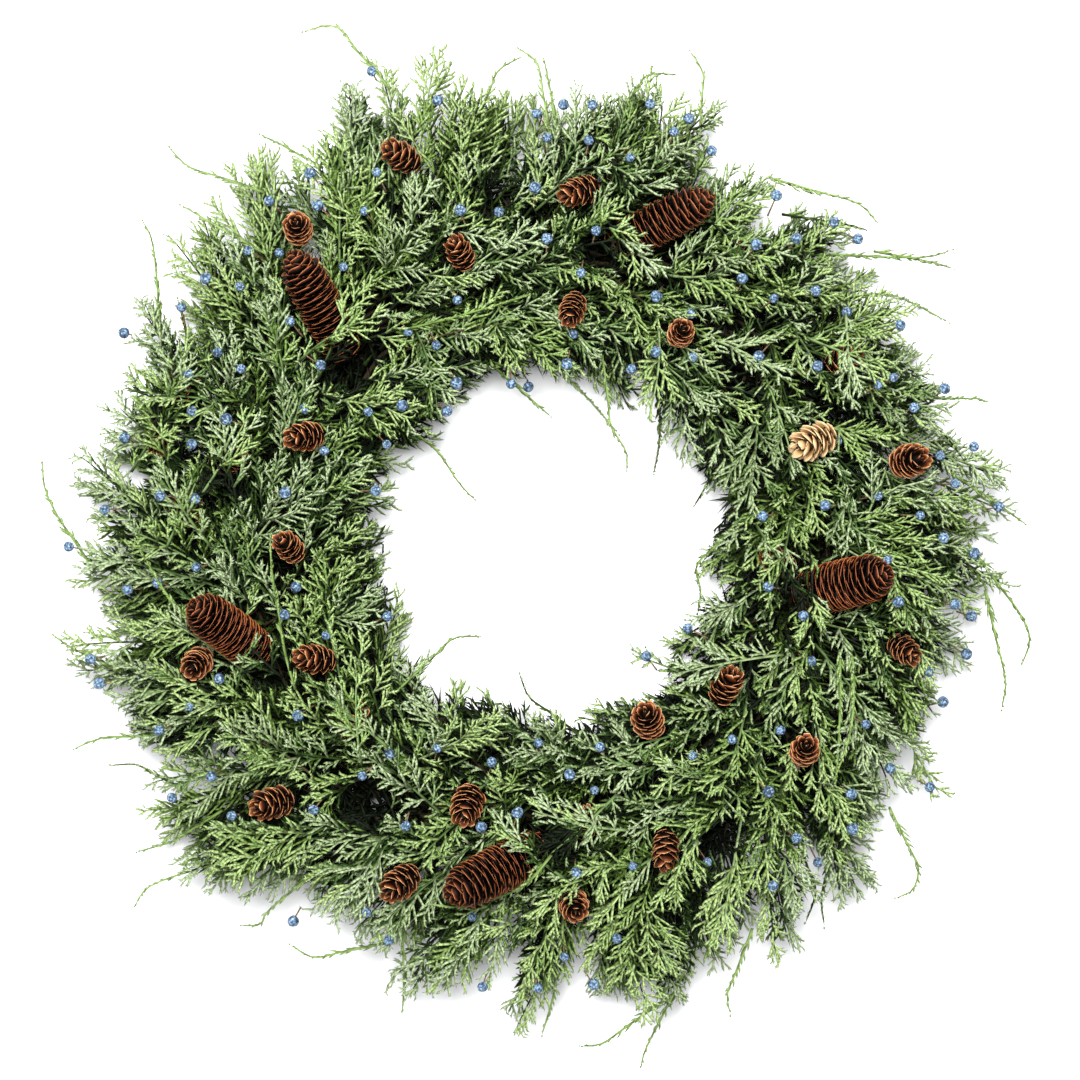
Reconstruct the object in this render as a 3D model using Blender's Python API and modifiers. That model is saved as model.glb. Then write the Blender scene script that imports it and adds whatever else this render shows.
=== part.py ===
"""A fresh juniper wreath lying on its back.

Bunches of juniper are bound with wire onto a ring frame, one after another round the ring, and cones
are set among them. The front of the wreath is up, +Z. The origin is the middle of the ring, on the
surface that the wreath lies on. Angles are in degrees, anticlockwise from +X seen from the front.
"""

import math

import bmesh
import bpy
from mathutils import Matrix, Vector

# ---- driving dimensions, in metres -----------------------------------------------------------------

BUNCHES = 20
BUNCH_STEP = 360 / BUNCHES  # degrees of ring that one bunch covers
BUNCH_GAP = 0.0015  # clear space between two bunches
FIRST_STEMS = 91.5  # degrees: where the first bunch's stems turn up into its foliage

RING_RADIUS = 0.165  # middle of the frame, where the stems lie
RING_WIDTH = 0.026  # between the middles of the two hoops
HOOP_THICKNESS = 0.0032
TIE_THICKNESS = 0.0024
TIE_OFFSET = 0.0002  # the ties lie a little above the middle of the hoops
TIES = 6
FIRST_TIE = 26.4  # degrees
FRAME_HEIGHT = 0.006  # middle of the hoops above the surface

STEM_THICKNESS = 0.009  # a bunch's cut stems, together
STEM_HEIGHT = FRAME_HEIGHT + TIE_OFFSET + TIE_THICKNESS / 2 + 0.0003 + STEM_THICKNESS / 2
STEM_SIDES = 6

WIRE_THICKNESS = 0.001
WIRE_TURNS_PER_BUNCH = 2
LOOP_HALF_WIDTH = 0.0200  # a turn of the wire, round both hoops and the stems
LOOP_HALF_HEIGHT = 0.0083
LOOP_HEIGHT = 0.0105  # middle of a turn above the surface
LOOP = ((1, 0), (0.68, 1), (-0.68, 1), (-1, 0), (-0.68, -1), (0.68, -1))  # corners of a turn
WIRE_START = 8.75  # degrees from a bunch's first edge to the first corner of the wire

INNER_TIPS = 0.098  # nearest that a bunch's tips come to the middle of the hole
GROOVE_HEIGHT = 0.022  # hollow under each bunch, which the frame lies in

# The middle line of a bunch's stems: degrees anticlockwise of where they turn up into the foliage,
# how far outside the middle of the frame, height.
STEM_ROUTE = (
    (8.5, 0, STEM_HEIGHT),
    (2, 0, STEM_HEIGHT),
    (-3.8, 0.0004, STEM_HEIGHT),
    (-9.6, 0.0022, GROOVE_HEIGHT + 0.012),
    (-13.3, 0.0047, GROOVE_HEIGHT + 0.025),
)

# How far the tips of each bunch reach, clockwise from the bunch whose stems are at the top.
REACH = (
    0.293, 0.285, 0.290, 0.296, 0.297, 0.291, 0.294, 0.300, 0.311, 0.303,
    0.296, 0.312, 0.306, 0.301, 0.300, 0.296, 0.312, 0.322, 0.305, 0.309,
)  # fmt: skip

EDGE_REACH = 0.276  # how far the edges between bunches reach
USUAL_REACH = 0.295  # for the height of the cones that lie on the foliage
CROWN = 0.004  # how far the middle of a bunch stands above its edges

# A bunch's section from the hole outwards: distance from the ring's middle, top and underside.
# The last two rows are measured back from the bunch's reach.
SECTION = (
    (INNER_TIPS, 0.044, 0.030),
    (0.107, 0.062, 0.008),
    (0.120, 0.077, 0.000),
    (0.140, 0.089, 0.000),
    (0.144, 0.091, GROOVE_HEIGHT),
    (0.186, 0.093, GROOVE_HEIGHT),
    (0.190, 0.092, 0.000),
    (0.216, 0.083, 0.000),
    (0.242, 0.068, 0.000),
    (-0.028, 0.054, 0.012),
    (0.000, 0.042, 0.028),
)
COLUMNS = 4  # strips across a bunch
TIP_NOTCH = 0.014  # depth of the notches between the groups of tips
SWEEP = 150  # degrees that tips lie clockwise of their stems, for each metre from the ring

CONE_WAIST = 0.42  # where a cone is widest, as a share of its length from its base
CONE_GROOVE = 0.86  # a cone's width between two rings of scales, as a share of its width on them
CONE_LIFT = 0.001  # the middle of a cone, above the foliage
CONE_CLEARANCE = 0.0008
POCKET_REACH = 0.055  # from a pocket's middle to the furthest bunch corner that it may matter to
LARGE_CONE_SIDES = 8
SMALL_CONE_SIDES = 7
POCKET_SIDES = 6
LARGE_CONE_RIDGES = 6  # rings of scales
SMALL_CONE_RIDGES = 2

# Spruce cones: position of the middle, direction of the apex, tilt of the apex upwards, length, width.
LARGE_CONES = (
    (-0.133, 0.142, 118, 20, 0.076, 0.028),
    (0.069, 0.191, 26, 13, 0.072, 0.027),
    (0.176, -0.023, 14, 32, 0.066, 0.031),
    (-0.029, -0.192, 206, 24, 0.074, 0.030),
    (-0.187, -0.050, 142, 30, 0.062, 0.029),
)

# Small cones: position of the middle, direction of the apex, tilt of the apex upwards, width.
SMALL_CONES = (
    (-0.147, 0.188, 100, 72, 0.020),
    (-0.086, 0.232, 150, 30, 0.020),
    (0.020, 0.209, 200, 25, 0.020),
    (0.044, 0.225, 40, 20, 0.018),
    (-0.050, 0.172, 120, 40, 0.018),
    (0.016, 0.139, 250, 45, 0.018),
    (0.080, 0.125, 60, 75, 0.018),
    (-0.142, 0.064, 190, 45, 0.020),
    (-0.229, 0.064, 260, 40, 0.018),
    (-0.219, 0.092, 80, 35, 0.018),
    (-0.151, -0.001, 130, 50, 0.018),
    (-0.206, -0.070, 230, 68, 0.020),
    (-0.136, -0.067, 170, 35, 0.020),
    (-0.211, 0.021, 100, 30, 0.018),
    (-0.162, -0.153, 190, 45, 0.022),
    (-0.113, -0.103, 60, 30, 0.018),
    (-0.046, -0.153, 250, 50, 0.022),
    (-0.086, -0.200, 215, 45, 0.022),
    (0.017, -0.213, 290, 72, 0.020),
    (0.071, -0.180, 265, 25, 0.019),
    (0.061, -0.104, 110, 60, 0.022),
    (0.107, -0.083, 60, 35, 0.020),
    (0.153, -0.121, 80, 70, 0.020),
    (0.213, -0.062, 320, 45, 0.018),
    (0.216, 0.050, 10, 65, 0.023),
    (0.158, 0.061, 200, 35, 0.024),
    (0.177, 0.110, 20, 30, 0.018),
    (0.137, -0.010, 150, 35, 0.019),
    (0.116, 0.171, 330, 30, 0.018),
    (0.023, -0.164, 80, 25, 0.018),
    (-0.187, 0.050, 20, 30, 0.018),
)
SMALL_CONE_SHAPE = 1.3  # length for each unit of width

STEM_CONE = 23  # the small cone whose taped stem shows
TAPED_STEM_THICKNESS = 0.0045
TAPED_STEM_RUNS = ((-0.003, -0.006, -0.004), (-0.005, -0.011, -0.009), (-0.003, -0.007, -0.020))


# ---- helpers -------------------------------------------------------------------------------------


def new_collection(name):
    collection = bpy.data.collections.new(name)
    bpy.context.scene.collection.children.link(collection)
    return collection


def material(name, colour, roughness, metallic=0.0):
    made = bpy.data.materials.new(name)
    made.use_nodes = True
    shader = made.node_tree.nodes["Principled BSDF"]
    shader.inputs["Base Color"].default_value = (*colour, 1.0)
    shader.inputs["Roughness"].default_value = roughness
    shader.inputs["Metallic"].default_value = metallic
    made.diffuse_color = (*colour, 1.0)
    return made


def add_object(name, data, collection, finish=None):
    made = bpy.data.objects.new(name, data)
    collection.objects.link(made)
    if finish:
        data.materials.append(finish)
    else:
        made.hide_render = True
        made.display_type = "WIRE"
    return made


def boolean(target, other, operation):
    change = target.modifiers.new(f"{operation.lower()} {other.name}", "BOOLEAN")
    change.operation = operation
    change.object = other


def tube(name, points, thickness, sides, collection):
    """A round rod along the points, as a closed mesh."""
    curve = bpy.data.curves.new(name, "CURVE")
    curve.dimensions = "3D"
    curve.bevel_depth = thickness / 2
    curve.bevel_resolution = sides // 2 - 2
    curve.use_fill_caps = True
    spline = curve.splines.new("POLY")
    spline.points.add(len(points) - 1)
    for place, point in zip(spline.points, points):
        place.co = (*point, 1.0)
    guide = bpy.data.objects.new(name, curve)
    collection.objects.link(guide)
    mesh = bpy.data.meshes.new_from_object(guide.evaluated_get(bpy.context.evaluated_depsgraph_get()))
    bpy.data.objects.remove(guide)
    bpy.data.curves.remove(curve)
    bm = bmesh.new()
    bm.from_mesh(mesh)
    bmesh.ops.remove_doubles(bm, verts=bm.verts, dist=0.00001)
    bmesh.ops.recalc_face_normals(bm, faces=bm.faces)
    bm.to_mesh(mesh)
    bm.free()
    mesh.name = name
    return mesh


def polar(radius, angle, height=0.0):
    turn = math.radians(angle)
    return Vector((radius * math.cos(turn), radius * math.sin(turn), height))


def turned(name, outline, sides, collection, finish=None):
    """A solid turned about its own Z axis. The outline runs from its top to its bottom."""
    bm = bmesh.new()
    corners = [bm.verts.new((radius, 0, height)) for radius, height in outline]
    for upper, lower in zip(corners, corners[1:]):
        bm.edges.new((upper, lower))
    mesh = bpy.data.meshes.new(name)
    bm.to_mesh(mesh)
    bm.free()
    made = add_object(name, mesh, collection, finish)
    screw = made.modifiers.new("turn", "SCREW")
    screw.axis = "Z"
    screw.steps = sides
    screw.render_steps = sides
    screw.use_merge_vertices = True
    screw.merge_threshold = 0.00005
    screw.use_smooth_shade = False
    return made


# ---- the frame and its wire ----------------------------------------------------------------------


def hoop(name, radius, collection, finish=None):
    bpy.ops.mesh.primitive_torus_add(
        major_radius=radius,
        minor_radius=HOOP_THICKNESS / 2,
        major_segments=32,
        minor_segments=6,
        location=(0, 0, FRAME_HEIGHT),
    )
    made = bpy.context.object
    made.name = name
    made.data.name = name
    for holder in list(made.users_collection):
        holder.objects.unlink(made)
    collection.objects.link(made)
    if finish:
        made.data.materials.append(finish)
    else:
        made.hide_render = True
        made.display_type = "WIRE"
    return made


def ring_frame(parts, cutters, finish):
    """Two hoops, one inside the other, welded together by short ties."""
    outer = hoop("ring_frame", RING_RADIUS + RING_WIDTH / 2, parts, finish)
    for number in range(TIES):
        angle = FIRST_TIE + 360 * number / TIES
        ends = [
            polar(RING_RADIUS + side * RING_WIDTH / 2, angle, FRAME_HEIGHT + TIE_OFFSET)
            for side in (-1, 1)
        ]
        tie = add_object(
            f"tie_{number + 1}", tube("tie", ends, TIE_THICKNESS, 6, cutters), cutters
        )
        boolean(outer, tie, "UNION")
    inner = hoop("inner_hoop", RING_RADIUS - RING_WIDTH / 2, cutters)
    boolean(outer, inner, "UNION")


def binding_wire(parts, finish):
    """One wire, wound round the hoops and the stems all the way round the ring."""
    turn_step = BUNCH_STEP / WIRE_TURNS_PER_BUNCH
    first = FIRST_STEMS + BUNCH_STEP - WIRE_START
    points = []
    for step in range(BUNCHES * WIRE_TURNS_PER_BUNCH * len(LOOP) - len(LOOP) // 2):
        across, up = LOOP[step % len(LOOP)]
        radius = RING_RADIUS + across * LOOP_HALF_WIDTH
        height = LOOP_HEIGHT + up * LOOP_HALF_HEIGHT
        points.append(polar(radius, first - turn_step * step / len(LOOP), height))
    add_object("binding_wire", tube("binding_wire", points, WIRE_THICKNESS, 4, parts), parts, finish)


# ---- bunches of juniper --------------------------------------------------------------------------


def stem_angle(index):
    """Where a bunch's stems turn up from the frame into its foliage."""
    return FIRST_STEMS - BUNCH_STEP * index


def sweep_angle(radius):
    """How far clockwise of its stems a tip lies, which makes each bunch an arrow head."""
    return SWEEP * abs(radius - RING_RADIUS)


def foliage_height(radius):
    """Top of the foliage at this distance from the ring's middle."""
    rows = [(row[0] if row[0] > 0 else row[0] + USUAL_REACH, row[1]) for row in SECTION]
    for (near, low), (far, high) in zip(rows, rows[1:]):
        if near <= radius <= far:
            return low + (high - low) * (radius - near) / (far - near)
    return rows[-1][1]


def foliage(index):
    """A bunch's foliage: a flat grid raised into a dome, then drawn down to its underside."""
    last = len(SECTION) - 1
    bm = bmesh.new()
    bmesh.ops.create_grid(bm, x_segments=last, y_segments=COLUMNS, size=0.5)

    def place(row, column, underside):
        radius, top, bottom = SECTION[row]
        if radius <= 0:
            radius += EDGE_REACH if column in (0, COLUMNS) else REACH[index]
        if column % 2 == 0 and row == 0:
            radius += TIP_NOTCH
        if column == COLUMNS // 2 and row == last:
            radius -= TIP_NOTCH
        half_gap = math.degrees(BUNCH_GAP / 2 / radius)
        share = column / COLUMNS
        angle = (
            stem_angle(index)
            - sweep_angle(radius)
            - half_gap
            - share * (BUNCH_STEP - 2 * half_gap)
        )
        crown = CROWN * math.sin(math.pi * share)
        return polar(radius, angle, bottom if underside else top + crown)

    extruded = bmesh.ops.extrude_face_region(bm, geom=bm.faces[:])
    lower = {item for item in extruded["geom"] if isinstance(item, bmesh.types.BMVert)}
    for corner in bm.verts:
        row = round((corner.co.x + 0.5) * last)
        column = round((corner.co.y + 0.5) * COLUMNS)
        corner.co = place(row, column, corner in lower)
    bmesh.ops.recalc_face_normals(bm, faces=bm.faces)
    mesh = bpy.data.meshes.new(f"bunch_{index + 1:02d}")
    bm.to_mesh(mesh)
    bm.free()
    return mesh


def stems(index, cutters):
    """A bunch's cut stems: along the frame under the wire, then up into the foliage."""
    points = [
        polar(RING_RADIUS + across, stem_angle(index) + turn, height)
        for turn, across, height in STEM_ROUTE
    ]
    name = f"stems_{index + 1:02d}"
    return add_object(name, tube(name, points, STEM_THICKNESS, STEM_SIDES, cutters), cutters)


# ---- cones ---------------------------------------------------------------------------------------


def cone_width(share):
    """A cone's outline, from its base (0) to its apex (1), as a share of its width."""
    return math.sqrt(max(0.0, 1 - abs((share - CONE_WAIST) / 0.6) ** 2.5))


def cone_outline(length, width, ridges):
    """The outline of a cone, apex first, with a ridge for each ring of scales."""
    outline = [(0, length / 2)]
    steps = ridges * 2
    for step in range(steps, -1, -1):
        share = step / steps
        depth = 1.0 if step % 2 == 0 else CONE_GROOVE
        outline.append((depth * width / 2 * cone_width(share), length * (share - 0.5)))
    outline.append((0, -length / 2))
    return outline


def pocket_outline(length, width):
    """The outline of a cone's hollow in the foliage: a six-sided barrel, just clear of the cone."""
    half = length / 2 + CONE_CLEARANCE
    across_corners = (width / 2 + CONE_CLEARANCE) / math.cos(math.pi / POCKET_SIDES)
    apex, base = cone_width(0.8), cone_width(0.1)
    waist = (CONE_WAIST - 0.5) * length
    return [
        (0, half),
        (across_corners * apex, half),
        (across_corners, waist),
        (across_corners * base, -half),
        (0, -half),
    ]


def cone_place(x, y, direction, tilt):
    """Where a cone lies: its middle on the top of the foliage, its apex towards the direction."""
    height = foliage_height(math.hypot(x, y)) + CONE_LIFT
    turn = Matrix.Rotation(math.radians(direction), 4, "Z")
    lean = Matrix.Rotation(math.radians(90 - tilt), 4, "Y")
    return Matrix.Translation((x, y, height)) @ turn @ lean


def add_cone(name, place, length, width, ridges, sides, parts, cutters, finish):
    """A cone, and the cutter that makes room for it. Returns the cutter."""
    cone = turned(name, cone_outline(length, width, ridges), sides, parts, finish)
    cone.matrix_world = place
    pocket = turned(f"pocket_{name}", pocket_outline(length, width), POCKET_SIDES, cutters)
    pocket.matrix_world = place
    return pocket


def cone_stem(place, length, parts, cutters, finish):
    """The taped stem under a cone, leaning down into the foliage. Returns the cutter that clears it."""
    points = [place @ Vector((0, 0, -length / 2 - TAPED_STEM_THICKNESS / 2))]
    for run in TAPED_STEM_RUNS:
        points.append(points[-1] + Vector(run))
    add_object("cone_stem", tube("cone_stem", points, TAPED_STEM_THICKNESS, 6, parts), parts, finish)
    points.append(points[-1] + Vector((0, 0, -CONE_CLEARANCE)))
    width = TAPED_STEM_THICKNESS + 2 * CONE_CLEARANCE
    return add_object("pocket_cone_stem", tube("pocket_cone_stem", points, width, 6, cutters), cutters)


def reaches(pocket, bunch):
    """Whether a pocket comes near enough to a bunch's foliage to cut it."""
    middle = pocket.matrix_world @ pocket.data.vertices[0].co
    return any((corner.co - middle).length < POCKET_REACH for corner in bunch.data.vertices)


def main():
    for leftover in list(bpy.data.objects):
        bpy.data.objects.remove(leftover)
    parts = new_collection("juniper_wreath")
    cutters = new_collection("cutters")

    ring_frame(parts, cutters, material("frame_wire", (0.12, 0.16, 0.11), 0.45, 0.8))
    binding_wire(parts, material("binding_wire", (0.10, 0.22, 0.11), 0.40, 0.8))

    spruce = material("spruce_cone", (0.30, 0.10, 0.04), 0.55)
    pockets = []
    for number, (x, y, direction, tilt, length, width) in enumerate(LARGE_CONES, 1):
        pockets.append(
            add_cone(
                f"large_cone_{number}", cone_place(x, y, direction, tilt), length, width,
                LARGE_CONE_RIDGES, LARGE_CONE_SIDES, parts, cutters, spruce,
            )  # fmt: skip
        )
    brown = material("small_cone", (0.20, 0.09, 0.04), 0.60)
    tape = material("floral_tape", (0.12, 0.07, 0.06), 0.70)
    for number, (x, y, direction, tilt, width) in enumerate(SMALL_CONES, 1):
        place = cone_place(x, y, direction, tilt)
        length = width * SMALL_CONE_SHAPE
        pockets.append(
            add_cone(
                f"small_cone_{number:02d}", place, length, width,
                SMALL_CONE_RIDGES, SMALL_CONE_SIDES, parts, cutters, brown,
            )  # fmt: skip
        )
        if number == STEM_CONE:
            pockets.append(cone_stem(place, length, parts, cutters, tape))

    for index in range(BUNCHES):
        shade = 0.8 + 0.06 * (index % 5)
        green = material(f"juniper_{index + 1:02d}", (0.10 * shade, 0.20 * shade, 0.09 * shade), 0.6)
        bunch = add_object(f"bunch_{index + 1:02d}", foliage(index), parts, green)
        boolean(bunch, stems(index, cutters), "UNION")
        for pocket in pockets:
            if reaches(pocket, bunch):
                boolean(bunch, pocket, "DIFFERENCE")


main()
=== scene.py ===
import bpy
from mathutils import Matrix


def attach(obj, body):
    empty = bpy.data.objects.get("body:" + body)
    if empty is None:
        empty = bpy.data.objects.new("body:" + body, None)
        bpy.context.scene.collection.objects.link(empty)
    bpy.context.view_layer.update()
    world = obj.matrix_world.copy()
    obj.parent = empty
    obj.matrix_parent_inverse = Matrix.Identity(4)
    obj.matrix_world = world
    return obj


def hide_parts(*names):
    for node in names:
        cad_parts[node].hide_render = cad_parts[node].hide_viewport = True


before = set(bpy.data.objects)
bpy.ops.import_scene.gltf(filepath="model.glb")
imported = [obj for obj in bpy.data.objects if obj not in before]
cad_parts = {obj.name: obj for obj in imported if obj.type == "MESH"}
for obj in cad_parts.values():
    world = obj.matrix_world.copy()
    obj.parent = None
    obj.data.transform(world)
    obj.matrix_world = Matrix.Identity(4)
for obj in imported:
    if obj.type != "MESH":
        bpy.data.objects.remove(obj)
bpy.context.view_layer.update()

"""The looks of a fresh juniper wreath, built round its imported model.

Every twig is a strand: a tapering three-sided shoot along a few points. Strands are made in groups
with numpy, as sprays, and joined into one mesh for each bunch of the wreath. Sizes are in metres.
"""

import math

import bpy
import numpy as np
from mathutils import Vector

BUNCHES = 20
BUNCH_STEP = 360 / BUNCHES
FIRST_STEMS = 91.5  # degrees, as in the model: where the first bunch's stems turn up
RING = 0.165  # middle of the frame, where the stems lie
USUAL_REACH, USUAL_INNER = 0.268, 0.102  # where the sprays of the belts below end
SET_BACK = 0.032  # how far inside the model's tips the sprays end
PLUME_SET_BACK = 0.018  # and those that stick out past the others

SHOOT_GAP = 0.0055  # between one side shoot of a spray and the next, on alternate sides
CORD_GAP = 0.0029  # between one cord of a side shoot and the next
LONGEST_SHOOT = 0.055
STEM_POINTS, LEADER_POINTS = 13, 14
MOSTLY = (0.08, 0.92)  # the share of fresh green shoots in a spray: mostly sage, or mostly fresh
CORD_RADIUS = 0.00096
SHORTEST_CORD, LONGEST_CORD = 0.0042, 0.0160
SHORT_CORD = 0.0060  # shorter cords are plain spikes
STEM_RADII = (0.0011, 0.0005)  # a spray's main stem, at its foot and at its tip
LEADER_RADII = (0.0011, 0.0006)
NUB_LENGTH = 0.0029
FLOOR_GAP = 0.0017  # lowest that a twig lies above the floor
CONE_GAP = 0.0006  # nearest that a twig comes to a cone
BEND_BELOW = 0.009  # twigs under this height turn to lie along the floor
FLATTEN_ABOVE, TOP_ROOM = 0.102, 0.024  # twigs over this height are drawn down into the room above it

CROWN_LEADERS = 18
EDGE_LEADER_GAP, CROWN_LEADER_GAP = 0.0027, 0.0019  # between one nub of a leading shoot and the next
BERRIES = 120
BERRY_WIDTH, BERRY_GAP, PAIR_GAP = 0.0066, 0.017, 0.009
BERRIES_FROM, BERRIES_TO = 0.106, 0.262  # nearest and furthest from the middle, but for those at the edges
UNDERGROWTH, CUT_STEMS = 620, 9  # in each bunch
SOFTBOX_PLACE, SOFTBOX_SIZE, SOFTBOX_WATTS = (-0.12, 0.50, 2.30), 0.9, 130
SURROUND = 0.62  # how bright the white surround is
SEEDS = dict(bunch=100, large_cone=300, small_cone=400, rest=7)

UP = np.array((0.0, 0.0, 1.0))
GOLDEN_TURN = math.radians(137.508)


# ---- strands -------------------------------------------------------------------------------------


def unit(v):
    return v / np.maximum(np.linalg.norm(v, axis=-1, keepdims=True), 1e-9)


class Strands:
    """Tapering shoots, kept by their number of points until they are made into one mesh."""

    def __init__(self):
        self.groups = {}

    def add(self, points, radii, kinds, levels):
        """points (m, n, 3), radii (m, n), kinds and levels (m): a strand's last point is its tip.

        A strand's kind is BARK, SAGE or FRESH and its level how light it is, from 0 to 1.
        """
        if len(points):
            tints = np.stack(np.broadcast_arrays(kinds, levels, np.zeros(len(points)))[:2])
            self.groups.setdefault(points.shape[1], []).append((points, radii, tints))

    def points(self):
        """The points of every strand, and those halfway between them."""
        found = []
        for parts in self.groups.values():
            for points, _, _ in parts:
                found.append(points.reshape(-1, 3))
                found.append(((points[:, 1:] + points[:, :-1]) / 2).reshape(-1, 3))
        return np.concatenate(found)

    def mesh(self, name, depth=None):
        """One mesh of closed three-sided shoots. Its UV map runs along each shoot (u) and by tone (v)."""
        corners, loops, uvs = [], [], []
        start = 0
        for count, parts in sorted(self.groups.items()):
            points = np.concatenate([p[0] for p in parts])
            radii = np.concatenate([p[1] for p in parts])
            kinds, levels = np.concatenate([p[2] for p in parts], axis=1)
            if depth:
                # painted shade: twigs that lie deep among the others are made darker
                levels = levels - depth.darker(points[:, count // 2])
            lows, spans = TONES[kinds.astype(int)].T
            tones = lows + spans * np.clip(levels, 0, 1)
            m, rings = len(points), count - 1
            along = unit(np.gradient(points, axis=1))
            spare = np.where(np.abs(along[:, :1, 2:3]) < 0.9, UP, np.array((1.0, 0.0, 0.0)))
            side = unit(np.cross(along, spare))
            other = np.cross(along, side)
            turn = (np.arange(3) * (2 * math.pi / 3))[:, None]
            around = np.cos(turn) * side[:, :rings, None] + np.sin(turn) * other[:, :rings, None]
            ring = points[:, :rings, None] + radii[:, :rings, None, None] * around
            block = np.concatenate([ring.reshape(m, rings * 3, 3), points[:, -1:, :]], axis=1)
            corners.append(block.reshape(-1, 3))
            pattern, pattern_uv = strand_pattern(count)
            size = rings * 3 + 1
            index = start + (np.arange(m) * size)[:, None] + pattern.reshape(1, -1)
            loops.append(index.reshape(-1))
            uv = np.broadcast_to(pattern_uv.reshape(1, -1, 2), (m, pattern_uv.size // 2, 2)).copy()
            uv[:, :, 1] = tones[:, None] + uv[:, :, 1]
            uvs.append(uv.reshape(-1, 2))
            start += m * size
        return triangle_mesh(name, np.concatenate(corners), np.concatenate(loops), np.concatenate(uvs))


def triangle_mesh(name, corners, loops, uvs):
    """A smooth mesh of triangles: its corners, three corner numbers a triangle, a UV for each of those."""
    made = bpy.data.meshes.new(name)
    made.vertices.add(len(corners))
    made.vertices.foreach_set("co", corners.astype(np.float32).ravel())
    made.loops.add(len(loops))
    made.loops.foreach_set("vertex_index", loops.astype(np.int32))
    made.polygons.add(len(loops) // 3)
    made.polygons.foreach_set("loop_start", np.arange(0, len(loops), 3, dtype=np.int32))
    made.polygons.foreach_set("use_smooth", np.ones(len(loops) // 3, dtype=bool))
    layer = made.uv_layers.new(name="OFBake")
    layer.data.foreach_set("uv", uvs.astype(np.float32).ravel())
    made.update()
    made.validate()
    return made


def strand_pattern(count):
    """The triangles of one strand of so many points, and their place in the UV map."""
    rings = count - 1
    triangles, uv = [(0, 1, 2)], [((0.01, 0.0), (0.012, 0.002), (0.014, 0.0))]
    for ring in range(rings):
        low, high = 0.02 + 0.96 * ring / rings, 0.02 + 0.96 * (ring + 1) / rings
        for side in range(3):
            a, b = ring * 3 + side, ring * 3 + (side + 1) % 3
            left, right = side * 0.003, (side + 1) * 0.003
            if ring < rings - 1:
                triangles += [(a, a + 3, b), (b, a + 3, b + 3)]
                uv += [((low, left), (high, left), (low, right)), ((low, right), (high, left), (high, right))]
            else:
                triangles.append((a, rings * 3, b))
                uv.append(((low, left), (high, (left + right) / 2), (low, right)))
    return np.array(triangles), np.array(uv)


def settle(points):
    """Keeps twigs between the floor that the wreath lies on and the height of its crown."""
    z = points[..., 2]
    low = FLOOR_GAP + (BEND_BELOW - FLOOR_GAP) * np.exp(
        np.minimum(z - BEND_BELOW, 0) / (BEND_BELOW - FLOOR_GAP)
    )
    over = np.maximum(z - FLATTEN_ABOVE, 0)
    high = FLATTEN_ABOVE + TOP_ROOM * (1 - np.exp(-over / TOP_ROOM))
    points[..., 2] = np.where(z < BEND_BELOW, low, np.where(z > FLATTEN_ABOVE, high, z))
    return points


# The UV map's v runs through bark, then sage greens, then fresh greens, each from dark to light.
BARK, SAGE, FRESH = 0, 1, 2
TONES = np.array(((0.01, 0.07), (0.12, 0.40), (0.56, 0.42)))  # where each starts, and how far it runs


def in_pocket(points):
    """Which points are in the gaps between the sprays, whose twigs beneath get painted shade."""
    apart = np.linalg.norm(points[..., None, :2] - POCKETS[:, :2], axis=-1).min(-1)
    return (apart < POCKET_WIDTH / 2) & (points[..., 2] > POCKET_FLOOR)


class Depth:
    """How deep each small cube of space lies among the twigs: 0 at their outside, 1 far inside. Twigs are
    painted darker by it, as painted shade.
    """

    CELL, LOW, SHAPE = 0.006, np.array((-0.348, -0.348, -0.030)), (116, 116, 32)
    FADES_IN = 0.013  # metres of usual foliage over a twig that give it most of its painted shade
    LIT = 1.35  # cells of usual foliage that give no painted shade
    DEEPEST_PAINTED_SHADE = 1.0  # how much darker a twig far inside is painted than one outside, as a level: painted shade

    def __init__(self, points):
        cubes = np.ravel_multi_index(self.cube(points), self.SHAPE)
        count = np.bincount(cubes, minlength=math.prod(self.SHAPE))
        count = count.reshape(self.SHAPE) / count[count > 0].mean()
        centres = (np.indices(self.SHAPE).reshape(3, -1).T + 0.5) * self.CELL + self.LOW
        # the gaps count as full of foliage, so the twigs under them get painted shade too
        count[in_pocket(centres).reshape(self.SHAPE)] = 1.5
        for axis in range(3):
            count = (np.roll(count, 1, axis) + count + np.roll(count, -1, axis)) / 3
        above = np.flip(np.cumsum(np.flip(count, 2), 2), 2)
        sides = [np.cumsum(count, axis) for axis in (0, 1)]
        sides += [np.flip(np.cumsum(np.flip(count, axis), axis), axis) for axis in (0, 1)]
        cover = np.minimum(above, np.minimum.reduce(sides) * 1.3 + 1.0) - count / 2 - self.LIT
        self.depth = 1 - np.exp(-np.maximum(cover, 0) * self.CELL / self.FADES_IN)

    def cube(self, points):
        return tuple(((points - self.LOW) / self.CELL).astype(int).T)

    def darker(self, points):
        return self.DEEPEST_PAINTED_SHADE * self.depth[self.cube(points)]


def polar(radius, angle, height=0.0):
    """The place so far from the middle, at so many degrees anticlockwise from the right."""
    turn = math.radians(angle)
    return np.array((radius * math.cos(turn), radius * math.sin(turn), height))


def bearing(place):
    """The degrees anticlockwise from the right at which a place lies."""
    return math.degrees(math.atan2(place[1], place[0]))


# ---- cones' places, read from the model ----------------------------------------------------------


class ConePlace:
    """Where a cone of the model lies: its middle, its axis towards the apex, its length and width."""

    def __init__(self, node):
        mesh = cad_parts[node].data
        corners = np.array([v.co for v in mesh.vertices])
        corners = np.unique(corners.round(6), axis=0)
        self.node = node
        centre = corners.mean(0)
        _, _, axes = np.linalg.svd(corners - centre)
        axis = axes[0]
        along = (corners - centre) @ axis
        away = np.linalg.norm(corners - centre - along[:, None] * axis, axis=1)
        low, high = along < np.quantile(along, 0.3), along > np.quantile(along, 0.7)
        if away[high].mean() > away[low].mean():
            axis, along = -axis, -along
        self.axis = axis
        self.length = along.max() - along.min()
        self.width = 2 * away.max()
        self.middle = centre + axis * (along.max() + along.min()) / 2


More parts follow.
